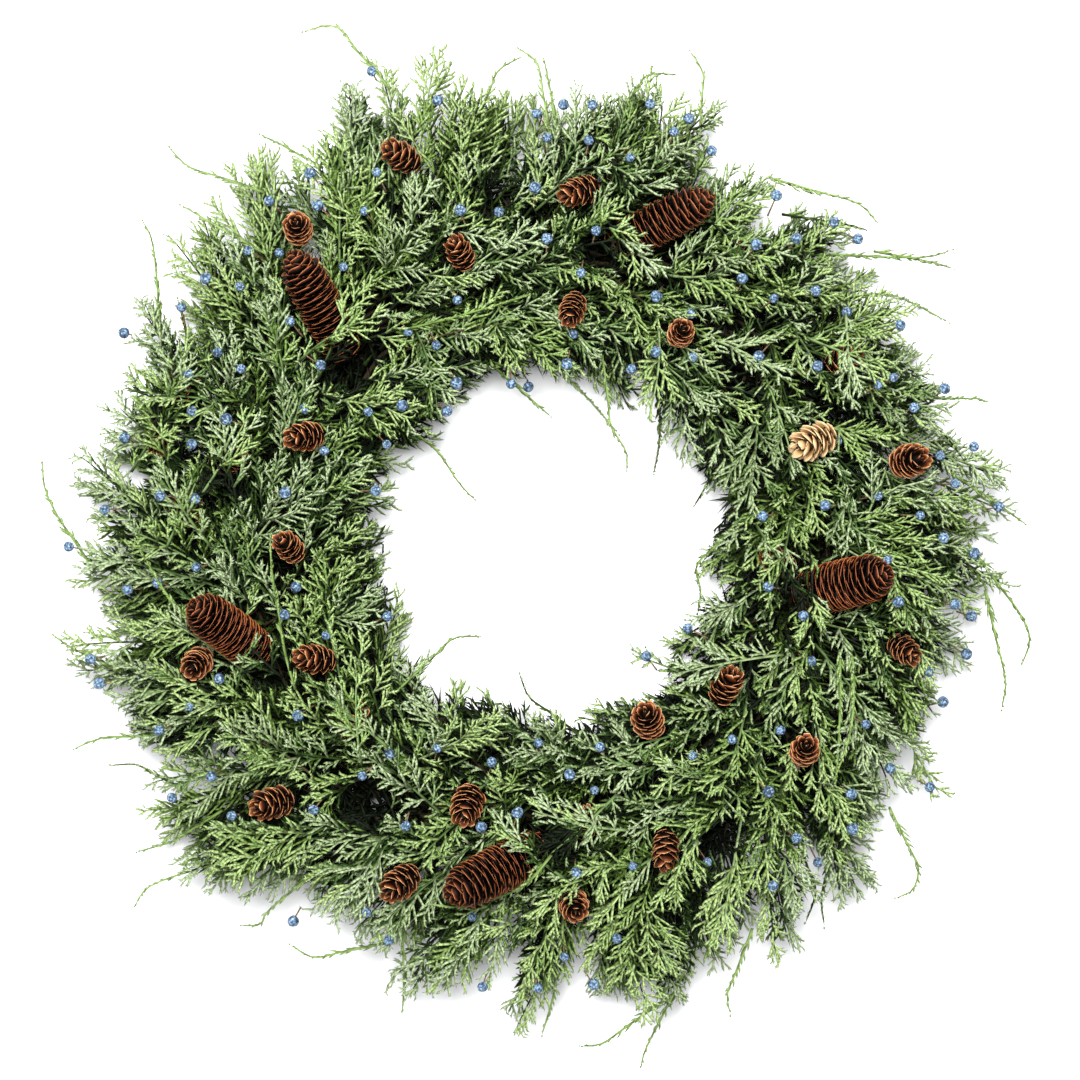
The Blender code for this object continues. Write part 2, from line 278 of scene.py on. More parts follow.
LARGE = [ConePlace(f"large_cone_{n}") for n in range(1, 6)]
SMALL = [ConePlace(f"small_cone_{n:02d}") for n in range(1, 32)]
PALE_CONE = "small_cone_26"
HIDDEN = [SMALL[n - 1] for n in (4, 9, 10, 14, 16, 27, 28, 29, 30, 31)]  # partly: sprays lie across them
# The tops of the cones' parts that sprays lie across: those small cones, and the feet of the large ones.
CROSSED = [c.middle + (0, 0, c.width / 2) for c in HIDDEN]
CROSSED += [c.middle - 0.32 * c.length * c.axis + (0, 0, c.width / 2) for c in LARGE]


# Gaps between the sprays, kept open, with painted shade on the twigs beneath them: at the feet of the large
# cones, and between some of the bunches.
POCKETS = [c.middle - (c.length / 2 + 0.004) * c.axis for c in LARGE]
POCKETS += [polar(0.211, 97), polar(0.187, 234), polar(0.196, 168), polar(0.205, 300)]
POCKETS = np.array(POCKETS)
POCKET_WIDTH, POCKET_FLOOR = 0.019, 0.052


def meets(points, share):
    """Which points are inside a cone, or over an open one. share: of each cone's width, from above."""
    flat = points.reshape(-1, 3)
    shares = np.broadcast_to(share, points.shape[:-1]).reshape(-1)
    found = np.zeros(len(flat), bool)
    for cone in LARGE + SMALL:
        half, radius = max(cone.length - cone.width, 0.0) / 2, cone.width / 2
        near = np.abs(flat - cone.middle).max(1) < half + radius + 0.03
        offset = flat[near] - cone.middle
        along = np.clip(offset @ cone.axis, -half, half)
        apart = offset - along[:, None] * cone.axis
        hit = np.linalg.norm(apart, axis=1) < radius + CONE_GAP
        if cone not in HIDDEN:
            level = cone.axis[:2]
            foot = -0.1 * half if cone in LARGE else -half
            reach = np.clip(offset[:, :2] @ level / max(level @ level, 1e-6), foot, half)
            aside = np.linalg.norm(offset[:, :2] - reach[:, None] * level, axis=1)
            hit |= (aside < radius * shares[near]) & (offset[:, 2] > 0)
        found[np.flatnonzero(near)[hit]] = True
    return found.reshape(points.shape[:-1])


# ---- sprays of juniper ---------------------------------------------------------------------------


def between(first, second, angle):
    """Directions at an angle from the first towards the second."""
    return np.cos(angle)[:, None] * first + np.sin(angle)[:, None] * second


def spray(
    rng, strands, base, heading, facing, length, spread, fresher, level, bend, arch, fine=True, over=False
):  # fmt: skip
    """A flat-ish fan of juniper: a main stem, side shoots on alternate sides, cords and nubs on them.

    fresher is the share of its shoots that are fresh green and not sage, level how light they are. With over
    it lies over the dark gaps too.
    """
    heading = unit(np.asarray(heading, float))
    side = unit(np.cross(facing, heading))
    facing = np.cross(heading, side)
    steps = np.linspace(0, 1, STEM_POINTS)

    def main_at(s):
        s = np.asarray(s)[..., None]
        return base + length * (s * heading + bend * s**2 * side + arch * (s - s**2) * facing)

    def heading_at(s):
        s = np.asarray(s)[..., None]
        return unit(heading + 2 * bend * s * side + arch * (1 - 2 * s) * facing)

    main_points = settle(main_at(steps))
    blocked = np.flatnonzero(meets(main_points, 0.9) | (in_pocket(main_points) & (not over)))
    ends = steps[blocked[0]] - 0.04 if len(blocked) else 1.0
    if ends < 0.2:
        return

    count = int(length * 0.94 / SHOOT_GAP)
    s = 0.06 + 0.92 * (np.arange(count) + rng.uniform(-0.3, 0.3, count)) / count
    s = np.clip(s, 0.04, 0.99)
    sign = (-1.0) ** np.arange(count)
    grown = np.where(s < 0.35, (s / 0.35) ** 0.5, 1 - 0.78 * (np.maximum(s - 0.35, 0) / 0.65) ** 1.4)
    shoot_length = length * spread * grown * rng.uniform(0.50, 1.3, count)
    angle = np.radians(43 - 15 * s + rng.normal(0, 10, count))
    tilt = np.radians(rng.normal(6, 24, count))
    ahead = heading_at(s)
    out = between(sign[:, None] * side, facing, tilt)
    direct = unit(between(ahead, out, angle))
    foot = main_at(s)
    curl = rng.uniform(0.10, 0.40, count)

    def shoot_at(i, v):
        v = np.asarray(v)[..., None]
        return foot[i] + shoot_length[i][..., None] * (
            v * direct[i] + curl[i][..., None] * v**2 * (ahead[i] - direct[i])
        )

    shoots = settle(shoot_at(np.arange(count)[:, None], np.linspace(0, 1, 4)))
    shoot_level = level + 0.16 * (s - 0.5) + rng.normal(0, 0.05, count)
    radii = CORD_RADIUS * np.tile((0.95, 0.9, 0.8, 0.3), (count, 1))
    room = np.where(rng.uniform(0, 1, count) < 0.08, 0.2, rng.uniform(0.75, 1.25, count))
    kinds = np.where(rng.uniform(0, 1, count) < fresher, FRESH, SAGE)
    grows = (s <= ends) & ~meets(shoots[:, 1:], room[:, None]).any(1)
    grows &= over | ~in_pocket(shoots).any(1)

    per = int(LONGEST_SHOOT / CORD_GAP)
    i, j = np.indices((count, per))
    at = (j + 0.7 + rng.uniform(-0.25, 0.25, (count, per))) * CORD_GAP / shoot_length[:, None]
    keep = (at < 0.93) & grows[i]
    i, at, j = i[keep], at[keep], j[keep]
    cords = len(i)
    cord_sign = (-1.0) ** (i + j)
    cord_length = (0.42 * shoot_length[i] * (1 - at) ** 0.8 + SHORTEST_CORD) * rng.uniform(0.6, 1.3, cords)
    cord_length = np.minimum(cord_length, LONGEST_CORD)
    shoot_ahead = unit(direct[i] + 2 * curl[i][:, None] * at[:, None] * (ahead[i] - direct[i]))
    sideways = unit(np.cross(np.broadcast_to(facing, (cords, 3)), shoot_ahead))
    lean = np.radians(rng.normal(10, 28, cords))
    fork = np.radians(rng.normal(36, 10, cords))
    cord_out = between(cord_sign[:, None] * sideways, facing, lean)
    cord_direct = unit(between(shoot_ahead, cord_out, fork))
    cord_foot = shoot_at(i, at)
    w = np.array((0.0, 0.66, 1.0))[None, :, None]
    cord_points = settle(
        cord_foot[:, None, :]
        + cord_length[:, None, None]
        * (w * cord_direct[:, None, :] + 0.2 * w**2 * (shoot_ahead - cord_direct)[:, None, :])
    )
    clear = ~meets(cord_points[:, 1:], room[i][:, None] * 0.85).any(1)
    clear &= over | ~in_pocket(cord_points).any(1)
    cord_radii = CORD_RADIUS * np.tile((0.95, 0.90, 0.0), (cords, 1))
    cord_radii = cord_radii * rng.uniform(0.8, 1.15, (cords, 1))
    cord_level = shoot_level[i] + rng.normal(0, 0.06, cords)

    slim = clear & (cord_length < SHORT_CORD)
    full = clear & ~slim
    nub_of = np.concatenate([np.flatnonzero(clear), np.flatnonzero(full)] if fine else [np.flatnonzero(full)])
    nubs = len(nub_of)
    nub_at = rng.uniform(0.25, 0.85, nubs)
    nub_sign = rng.choice((-1.0, 1.0), nubs)
    nub_foot = cord_points[nub_of, 0] * (1 - nub_at)[:, None] + cord_points[nub_of, 2] * nub_at[:, None]
    nub_side = unit(np.cross(np.broadcast_to(facing, (nubs, 3)), cord_direct[nub_of]))
    nub_direct = unit(
        cord_direct[nub_of]
        + 0.75 * nub_sign[:, None] * nub_side
        + rng.normal(0, 0.6, nubs)[:, None] * facing
    )
    nub_length = NUB_LENGTH * rng.uniform(0.7, 1.4, nubs)
    nub_points = settle(np.stack([nub_foot, nub_foot + nub_length[:, None] * nub_direct], axis=1))
    nub_radii = np.tile((CORD_RADIUS * 0.85, 0.0), (nubs, 1))

    shown = max(3, int(ends * (STEM_POINTS - 1)) + 1)
    main_radii = np.linspace(*STEM_RADII, STEM_POINTS)[None, :shown]
    stem = BARK if rng.uniform() < 0.04 else SAGE
    strands.add(main_points[None, :shown], main_radii, stem, level - 0.22)
    strands.add(shoots[grows], radii[grows], kinds[grows], shoot_level[grows])
    cord_kinds = kinds[i]
    strands.add(cord_points[full], cord_radii[full], cord_kinds[full], cord_level[full])
    spikes, spike_radii = cord_points[slim][:, ::2], cord_radii[slim][:, 1::-1] * 1.1
    strands.add(spikes, spike_radii, cord_kinds[slim], cord_level[slim])
    strands.add(nub_points, nub_radii, cord_kinds[nub_of], cord_level[nub_of] + 0.08)


# The sprays of a bunch, in belts from the floor outside, over the crown, to the floor inside. Each
# belt's count, then from its first spray to its last: how far out they start, how high, degrees from
# clockwise towards the outside, degrees of rise, length; last, how much those degrees vary.
BELTS = (
    (8, (0.176, 0.194), (0.011, 0.066), (72, 48), (-2, 10), (0.100, 0.080), 16),
    (12, (0.196, 0.142), (0.070, 0.070), (46, -20), (13, 14), (0.072, 0.064), 40),
    (6, (0.147, 0.137), (0.062, 0.011), (-26, -56), (9, -1), (0.064, 0.056), 14),
)
FINE_ABOVE = 0.034  # sprays that start under this height have fewer nubs


def model_tip(index):
    """Where a bunch of the model comes furthest out: degrees anticlockwise from the right, how far."""
    bunch_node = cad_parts[f"bunch_{index + 1:02d}"]
    corners = np.array([bunch_node.matrix_world @ v.co for v in bunch_node.data.vertices])
    tip = corners[np.hypot(*corners.T[:2]).argmax()]
    return bearing(tip) % 360, math.hypot(*tip[:2])


MODEL_TIPS = np.array(sorted(model_tip(index) for index in range(BUNCHES))).T


def model_reach(angle):
    """How far out the model's bunches come at an angle, from tip to tip."""
    return np.interp(angle, *MODEL_TIPS, period=360)


def fitted(rng, foot, way, length):
    """A spray's length, changed to end where the foliage does in that direction."""
    tip = foot + length * way
    start, end = np.hypot(*foot[:2]), np.hypot(*tip[:2])
    if end > start:
        reach = model_reach(bearing(tip)) - SET_BACK
        room = (reach + rng.normal(-0.006, 0.0095) - start) / (end - start)
        return length * min((reach - start) / (USUAL_REACH - start), room)
    room = (start - USUAL_INNER + rng.normal(-0.002, 0.006)) / (start - end)
    return length * min(1, room)


def level_way(angle, yaw):
    """A level direction at a place: so far from clockwise towards the outside, in radians."""
    return math.cos(yaw) * polar(1, angle - 90) + math.sin(yaw) * polar(1, angle)


def bunch(index, rng):
    """All the sprays of one bunch: outwards, over the top and inwards, each leaning clockwise."""
    strands = Strands()
    stems = FIRST_STEMS - BUNCH_STEP * index
    turn = 0.0
    for count, *ends, stray in BELTS:
        for number in range(count):
            along = number / (count - 1)
            start, height, outwards, rise, length = (a + (b - a) * along for a, b in ends)
            turn += 0.618
            angle = stems - BUNCH_STEP * ((turn + rng.uniform(-0.12, 0.12)) % 1.0)
            foot = polar(start + rng.normal(0, 0.005), angle, max(height + rng.normal(0, 0.005), 0.008))
            yaw = math.radians(outwards + rng.normal(0, stray))
            pitch = math.radians(rise + rng.normal(0, 7))
            heading = math.cos(pitch) * level_way(angle, yaw) + math.sin(pitch) * UP
            facing = unit(UP + polar(1, angle) * math.sin(yaw) * 0.35 + rng.normal(0, 0.32, 3))
            bend = rng.uniform(-0.3, 0.3)
            way = heading + bend * unit(np.cross(facing, heading))
            spray(
                rng, strands, foot, heading, facing, fitted(rng, foot, way, length * rng.uniform(0.85, 1.1)),
                rng.uniform(0.40, 0.56), rng.choice(MOSTLY), np.clip(rng.normal(0.89, 0.07), 0.72, 1.1),
                bend=bend, arch=rng.uniform(-0.1, 0.35), fine=height > FINE_ABOVE,
            )  # fmt: skip
    for place in CROSSED:
        if (stems - bearing(place)) % 360 < BUNCH_STEP:
            cross(rng, strands, place)
    angle = stems - BUNCH_STEP * rng.uniform(0.2, 0.8)
    plume(rng, strands, angle, model_reach(angle) - PLUME_SET_BACK + rng.normal(0, 0.008))
    undergrowth(rng, strands, stems)
    cut_stems(rng, strands, stems)
    return strands


def cross(rng, strands, place):
    """Two short sprays that lie across part of a cone."""
    turn = bearing(place)
    for yaw in (rng.uniform(10, 40), rng.uniform(-40, -10)):
        heading = level_way(turn, math.radians(yaw))
        foot = place - heading * 0.026 + UP * 0.002
        spray(
            rng, strands, foot, heading, UP + rng.normal(0, 0.15, 3), rng.uniform(0.050, 0.062),
            rng.uniform(0.40, 0.50), rng.choice(MOSTLY), rng.uniform(0.75, 0.95),
            bend=rng.uniform(-0.2, 0.2), arch=0.45, over=True,
        )  # fmt: skip


def plume(rng, strands, angle, reach):
    """Two slender sprays that stick out past the others, one over the other."""
    for height in (0.040, 0.056):
        foot = polar(0.205, angle + rng.uniform(8, 14), height)
        ahead = polar(reach + rng.normal(0, 0.003), angle + rng.normal(0, 1.5), height * 0.85) - foot
        spray(
            rng, strands, foot, ahead, UP + rng.normal(0, 0.2, 3), np.linalg.norm(ahead),
            rng.uniform(0.26, 0.34), rng.choice(MOSTLY), rng.uniform(0.80, 0.95),
            bend=rng.uniform(-0.15, 0.15), arch=0.15,
        )  # fmt: skip


def undergrowth(rng, strands, stems):
    """Short twigs that fill the inside of the wreath between its sprays, painted dark as shade."""
    count = UNDERGROWTH
    angle = np.radians(stems - BUNCH_STEP * rng.uniform(0, 1, count))
    across = rng.uniform(-1, 1, count)
    radius = 0.166 + 0.046 * across
    height = 0.006 + rng.uniform(0, 1, count) * 0.050 * np.sqrt(1 - 0.8 * across**2)
    foot = np.stack([radius * np.cos(angle), radius * np.sin(angle), height], axis=1)
    clockwise = np.stack([np.sin(angle), -np.cos(angle), np.zeros(count)], axis=1)
    direct = unit(clockwise * 0.6 + rng.normal(0, 0.7, (count, 3)) * np.array((1, 1, 0.5)))
    length = rng.uniform(0.012, 0.024, count)
    w = np.array((0.0, 1.0))[None, :, None]
    points = settle(foot[:, None, :] + length[:, None, None] * w * direct[:, None, :])
    clear = ~meets(points, 0.6).any(1)
    radii = np.tile((0.0017, 0.0), (count, 1))
    kinds = np.where(rng.uniform(0, 1, count) < 0.1, BARK, FRESH)
    # low levels: painted shade, for twigs deep inside the wreath
    strands.add(points[clear], radii[clear], kinds[clear], rng.uniform(0.2, 0.4, count)[clear])


def cut_stems(rng, strands, stems):
    """The woody ends of the sprays, lying side by side along the frame."""
    for _ in range(CUT_STEMS):
        angle = stems - rng.uniform(0, BUNCH_STEP) - np.linspace(0, rng.uniform(26, 40), 6)
        radius = rng.uniform(0.150, 0.186) + rng.normal(0, 0.002, 6)
        height = rng.uniform(0.014, 0.048) + rng.normal(0, 0.0015, 6)
        turn = np.radians(angle)
        line = np.stack([radius * np.cos(turn), radius * np.sin(turn), height], axis=1)
        if not meets(line, 0.0).any():
            strands.add(line[None], np.linspace(0.0023, 0.0014, 6)[None], BARK, rng.uniform(0.1, 0.7))


# Long leading shoots that curl out past the sprays: points from the foliage to the tip, in millimetres.
WISPS = (
    ((-111, 294), (-126, 311), (-146, 308)), ((-195, 221), (-215, 228), (-228, 241)),
    ((-191, 188), (-205, 196), (-220, 205)), ((-232, 142), (-236, 181), (-243, 196)),
    ((-157, 239), (-164, 243), (-172, 247)), ((-1, 269), (-5, 290), (-18, 300)),
    ((3, 273), (1, 284), (-1, 295)), ((-34, 272), (-28, 286), (-13, 295)),
    ((54, 272), (62, 283), (80, 284)), ((94, 268), (95, 284), (87, 299)),
    ((160, 213), (188, 205), (201, 192)), ((170, 195), (184, 193), (196, 190)),
    ((182, 174), (226, 173), (246, 178)), ((225, 172), (237, 170), (248, 167)),
    ((254, 88), (260, 88), (266, 86)), ((264, 30), (277, 22), (292, 12)),
    ((270, -21), (286, -42), (292, -57), (287, -74)), ((270, -54), (277, -82), (275, -100)),
    ((219, -182), (225, -194), (222, -208), (211, -214)), ((172, -188), (167, -212), (169, -231)),
    ((158, -194), (163, -209), (157, -228)), ((115, -256), (110, -270), (112, -284)),
    ((72, -281), (61, -304), (58, -316)), ((52, -288), (34, -301), (20, -303)),
    ((7, -256), (5, -273), (-2, -297)), ((-85, -248), (-85, -268), (-86, -283)),
    ((-63, -237), (-66, -248), (-70, -259)), ((-121, -244), (-139, -248), (-154, -241)),
    ((-151, -207), (-167, -221), (-172, -229), (-185, -230)),
    ((-203, -193), (-230, -202), (-242, -209), (-248, -219)),
    ((-217, -174), (-225, -179), (-248, -186)),
    ((-223, -143), (-236, -137), (-246, -132), (-263, -133)),
    ((-250, -115), (-266, -116), (-284, -123)), ((-276, -66), (-287, -61), (-299, -53)),
    ((-286, 7), (-293, 17), (-301, 34), (-303, 52)), ((-250, 31), (-268, 46), (-276, 58)),
    ((-75, 65), (-64, 56), (-52, 38), (-41, 26)), ((-12, 91), (-4, 84), (4, 77)),
    ((38, 86), (40, 71), (49, 56), (49, 43)), ((101, 42), (95, 32), (89, 22)),
    ((101, -2), (91, -13), (94, -27), (92, -43)), ((2, -100), (-10, -91), (-16, -76)),
    ((-70, -70), (-55, -56), (-37, -55)),
)  # fmt: skip


def through(points, count):
    """A smooth line through a few points, with so many points along it."""
    points = np.asarray(points, float)
    knots = np.concatenate([[0], np.cumsum(np.linalg.norm(np.diff(points, axis=0), axis=1))])
    before, after = 2 * points[0] - points[1], 2 * points[-1] - points[-2]
    held = np.concatenate([[before], points, [after]])
    line = []
    for place in np.linspace(0, knots[-1], count):
        k = min(np.searchsorted(knots, place, side="right") - 1, len(points) - 2)
        t = (place - knots[k]) / (knots[k + 1] - knots[k])
        p0, p1, p2, p3 = held[k : k + 4]
        line.append(
            0.5 * (2 * p1 + (p2 - p0) * t + (2 * p0 - 5 * p1 + 4 * p2 - p3) * t**2
                   + (3 * p1 - p0 - 3 * p2 + p3) * t**3)
        )  # fmt: skip
    return np.array(line)


def edge_leader(rng, places):
    """The line of a leading shoot at the wreath's edge, from inside the foliage to its tip."""
    flat = np.array(places, float) / 1000
    root = flat[0] + (flat[0] - flat[1]) / np.linalg.norm(flat[0] - flat[1]) * 0.028
    flat = np.vstack([root, flat])
    height = np.linspace(rng.uniform(0.045, 0.06), rng.uniform(0.028, 0.05), len(flat))
    return through(np.column_stack([flat, height]), LEADER_POINTS)


def crown_leader(rng, canopy):
    """The line of a leading shoot that curls over the sprays."""
    radius, angle = rng.uniform(0.125, 0.225), rng.uniform(0, 360)
    outwards = 1.2 * (radius - RING) / 0.06 + rng.normal(0, 0.4)
    step, bow = rng.uniform(0.016, 0.024), rng.uniform(-0.5, 0.5)
    place, line = polar(radius, angle)[:2], []
    for number in range(5):
        line.append((*place, canopy.top(*place) + (-0.006, 0.001, 0.003, 0.004, 0.005)[number]))
        turn = math.atan2(place[1], place[0]) - math.pi / 2 + math.atan(outwards) + bow * (number - 1) / 2
        place = place + step * np.array((math.cos(turn), math.sin(turn)))
    line = np.array(line)
    line[:, 2] = np.minimum(np.linspace(line[0, 2], line[-1, 2], 5) + 0.004, line[:, 2] + 0.004)
    return through(line, LEADER_POINTS)


def leader(rng, strands, line, gap):
    """One leading shoot with its short nubs, so far apart."""
    line = settle(line)
    if meets(line, 0.9).any():
        return
    radii = np.linspace(*LEADER_RADII, LEADER_POINTS)[None]
    level = rng.uniform(0.60, 0.78)
    strands.add(line[None], radii, FRESH, level - 0.1)
    length = np.linalg.norm(np.diff(line, axis=0), axis=1).sum()
    count = int(length / gap)
    s = (np.arange(count) + rng.uniform(0.0, 1.0, count)) / count

    def at_shares(values):
        along = s * (LEADER_POINTS - 1)
        return np.stack([np.interp(along, np.arange(LEADER_POINTS), v) for v in values.T], axis=1)

    foot, ahead = at_shares(line), unit(at_shares(np.gradient(line, axis=0)))
    sign = rng.choice((-1.0, 1.0), count)
    side = unit(np.cross(np.broadcast_to(UP, ahead.shape), ahead)) * sign[:, None]
    direct = unit(ahead + side * rng.uniform(0.20, 0.70, (count, 1)) + UP * rng.normal(0, 0.35, (count, 1)))
    size = (0.0100 - 0.0084 * s) * rng.uniform(0.4, 1.3, count)
    w = np.array((0.0, 0.5, 1.0))[None, :, None]
    points = foot[:, None] + size[:, None, None] * (
        w * direct[:, None] + 0.3 * w**2 * (ahead - direct)[:, None]
    )
    radii = np.tile((0.0007, 0.0008, 0.0002), (count, 1))
    strands.add(settle(points), radii, FRESH, level + rng.normal(0.05, 0.08, count))


# ---- berries -------------------------------------------------------------------------------------

# Berries that hang out past the sprays, outside and then inside, in millimetres.
EDGE_BERRIES = (
    (-254, 128), (-219, 143), (-201, 158), (-166, 207), (-138, 218), (-104, 284), (-64, 265),
    (-5, 259), (11, 261), (28, 260), (62, 261), (85, 252), (137, 207), (186, 182), (210, 130),
    (235, 92), (257, 59), (273, 23), (257, -5), (241, -35), (255, -66), (232, -146), (182, -168),
    (135, -202), (29, -262), (-37, -261), (-152, -227), (-223, -151), (-264, -82), (-271, -68),
    (-286, -1), (-263, 21), (-251, 64),
    (-84, 82), (-58, 79), (-20, 95), (-10, 95), (13, 107), (84, -49), (61, -67), (-100, 32), (-93, -42),
)  # fmt: skip


class Canopy:
    """How high the twigs reach over each small square of the floor."""

    CELL, HALF = 0.002, 0.34

    def __init__(self, points):
        side = int(2 * self.HALF / self.CELL)
        self.height = np.zeros((side, side))
        at = self.cell(points[:, :2])
        np.maximum.at(self.height, (at[:, 0], at[:, 1]), points[:, 2])

    def cell(self, flat):
        return ((np.asarray(flat) + self.HALF) / self.CELL).astype(int)

    def top(self, x, y, reach=0.003):
        """The highest twig within so far of a place."""
        i, j = self.cell((x, y))
        k = int(reach / self.CELL)
        return self.height[i - k : i + k + 1, j - k : j + k + 1].max()


def berry_places(rng, canopy):
    """Where each berry sits: its middle, its width and the twig it hangs from."""
    places = []

    def free(x, y, gap):
        return all((x - p[0]) ** 2 + (y - p[1]) ** 2 > gap**2 for p, _ in places)

    for x, y in np.array(EDGE_BERRIES) / 1000:
        height = max(canopy.top(x, y, 0.005) - 0.002, rng.uniform(0.026, 0.044))
        places.append((np.array((x, y, height)), BERRY_WIDTH * rng.uniform(0.92, 1.1)))
    wanted = len(places) + BERRIES
    for _ in range(20000):
        if len(places) >= wanted:
            break
        radius, turn = math.sqrt(rng.uniform(BERRIES_FROM**2, BERRIES_TO**2)), rng.uniform(0, 2 * math.pi)
        x, y = radius * math.cos(turn), radius * math.sin(turn)
        pair = rng.uniform() < 0.12
        height = canopy.top(x, y)
        if height < 0.03 or not free(x, y, PAIR_GAP if pair else BERRY_GAP):
            continue
        spot = np.array((x, y, min(height - rng.choice((-0.001, 0.001, 0.004)), 0.118)))
        if any(meets(spot + np.array(((0, 0, 0), (0.004, 0, 0), (-0.004, 0, 0),
                                              (0, 0.004, 0), (0, -0.004, 0))), 1.1)):  # fmt: skip
            continue
        places.append((spot, BERRY_WIDTH * rng.uniform(0.85, 1.1)))
    return places


def edge_sprigs(rng, strands, canopy):
    """Small sprays that carry the berries hanging out past the others."""
    for x, y in np.array(EDGE_BERRIES) / 1000:
        if canopy.top(x, y, 0.006) > 0:
            continue
        outside = math.hypot(x, y) > 0.17
        turn = bearing((x, y))
        radius = math.hypot(x, y) + (-0.036 if outside else 0.030)
        foot = polar(radius, turn + rng.uniform(4, 9), rng.uniform(0.034, 0.046))
        ahead = np.array((x, y, rng.uniform(0.03, 0.036))) - foot
        spray(
            rng, strands, foot, ahead, UP + rng.normal(0, 0.2, 3), np.linalg.norm(ahead) + 0.008,
            rng.uniform(0.34, 0.42), rng.choice(MOSTLY), rng.uniform(0.70, 0.85),
            bend=rng.uniform(-0.1, 0.1), arch=0.1,
        )  # fmt: skip


BERRY_SIDES, BERRY_ROWS = 12, 8


def turned_pattern(sides, rows):
    """The triangles of a body made of rings and then its two ends, and their corners' places in its map."""
    last, top = (rows - 2) * sides, (rows - 1) * sides
    triangles, spots = [], []
    for column in range(sides):
        after = (column + 1) % sides
        triangles += [(column, after, top), (last + after, last + column, top + 1)]
        spots += [(column, 1), (column + 1, 1), (column + 0.5, 0)]
        spots += [(column + 1, rows - 1), (column, rows - 1), (column + 0.5, rows)]
        for row in range(rows - 2):
            a, b = row * sides + column, row * sides + after
            triangles += [(a, a + sides, b), (b, a + sides, b + sides)]
            spots += [(column, row + 1), (column, row + 2), (column + 1, row + 1)]
            spots += [(column + 1, row + 1), (column, row + 2), (column + 1, row + 2)]
    return np.array(triangles).ravel(), np.array(spots) / (sides, rows)


def berry_mesh(rng, places):
    """Round, slightly lumpy berries. Each has one of sixteen squares of the UV map."""
    turn = np.linspace(0, 2 * math.pi, BERRY_SIDES + 1)[:-1]
    tilt = np.linspace(0, math.pi, BERRY_ROWS + 1)[1:-1]
    tilt, turn = np.meshgrid(tilt, turn, indexing="ij")
    pattern, spots = turned_pattern(BERRY_SIDES, BERRY_ROWS)
    corners, loops, uvs = [], [], []
    for number, (middle, width) in enumerate(places):
        axis = unit(rng.normal(0, 1, 3) + UP * 0.8)
        side = unit(np.cross(axis, (0.3, 0.8, 0.1)))
        other = np.cross(axis, side)
        lump = rng.uniform(0, 2 * math.pi, 3)
        size = 1 + 0.035 * np.sin(3 * turn + lump[0]) * np.sin(tilt) + 0.03 * np.cos(2 * tilt + lump[1])
        body = (
            (np.sin(tilt) * np.cos(turn) * size)[..., None] * side
            + (np.sin(tilt) * np.sin(turn) * size)[..., None] * other
            + (np.cos(tilt) * size * 0.96)[..., None] * axis
        ).reshape(-1, 3)
        body = np.concatenate([body, [axis * 0.93], [-axis * 0.95]])
        loops.append(number * len(body) + pattern)
        corners.append(middle + body * width / 2)
        uvs.append((np.array((number % 4, number // 4 % 4)) + 0.04 + 0.92 * spots) / 4)
    return triangle_mesh("berries", np.concatenate(corners), np.concatenate(loops), np.concatenate(uvs))


def berry_stalks(rng, strands, places, twigs):
    """A thin twig from each berry back to the nearest shoots."""
    for middle, width in places:
        inward = middle * np.array((1, 1, 0))
        inward = unit(inward) * (-1 if np.linalg.norm(inward) > 0.17 else 1)
        near = twigs[np.abs(twigs - middle).max(1) < 0.03]
        if not len(near):
            near = middle[None] + inward * 0.02
        wanted = middle + inward * 0.008 - UP * 0.006
        foot = near[np.argmin(np.linalg.norm(near - wanted, axis=1))]
        bow = (foot + middle) / 2 - UP * rng.uniform(0.0005, 0.002)
        line = settle(through([foot, bow, middle], 4))
        strands.add(line[None], np.array([[0.0007, 0.0006, 0.00055, 0.0005]]), BARK, 0.6)


# ---- cones ---------------------------------------------------------------------------------------

# A kind of cone: how many scales it has and how they crowd (under 1: towards the apex); its outline, as
# (share of the length, share of half the width); the degrees that the scales stand off the axis along it;
# a scale's width and thickness as shares of the cone's; how much narrower scales are near the apex and at
# it; how much of a scale's end is rounded off, and how suddenly; the length of scales near the apex and at
# it; and how uneven the scales are.
LARGE_KIND = dict(
    scales=104,
    crowding=0.70,
    outline=(
        (0.0, 0.62), (0.12, 0.90), (0.35, 0.98), (0.65, 0.98), (0.82, 0.90), (0.93, 0.62), (1.0, 0.14)
    ),
    opening=((0.0, 90), (0.15, 90), (0.6, 86), (0.8, 72), (0.9, 52), (0.96, 28), (1.0, -12)),
    wide=0.90,
    narrowing=(0.66, 0.30),
    blunt=(0.18, 3.4),
    thick=0.030,
    tips=(0.36, 0.13),
    uneven=0.4,
)  # fmt: skip
SMALL_KIND = dict(
    scales=34,
    crowding=0.82,
    outline=((0.0, 0.62), (0.2, 0.90), (0.45, 0.92), (0.70, 0.82), (0.86, 0.54), (1.0, 0.12)),
    opening=((0.0, 92), (0.25, 74), (0.55, 58), (0.75, 42), (0.88, 22), (1.0, -25)),
    wide=0.58,
    narrowing=(0.75, 0.40),
    blunt=(0.34, 2.4),
    thick=0.050,
    tips=(0.42, 0.16),
    uneven=1.0,
)
SCALE_ROWS, SCALE_COLUMNS = 3, 6
CORE_SIDES, CORE_RINGS = 8, 6
ATLAS = 8  # squares along each side of the cones' UV map, one for each scale


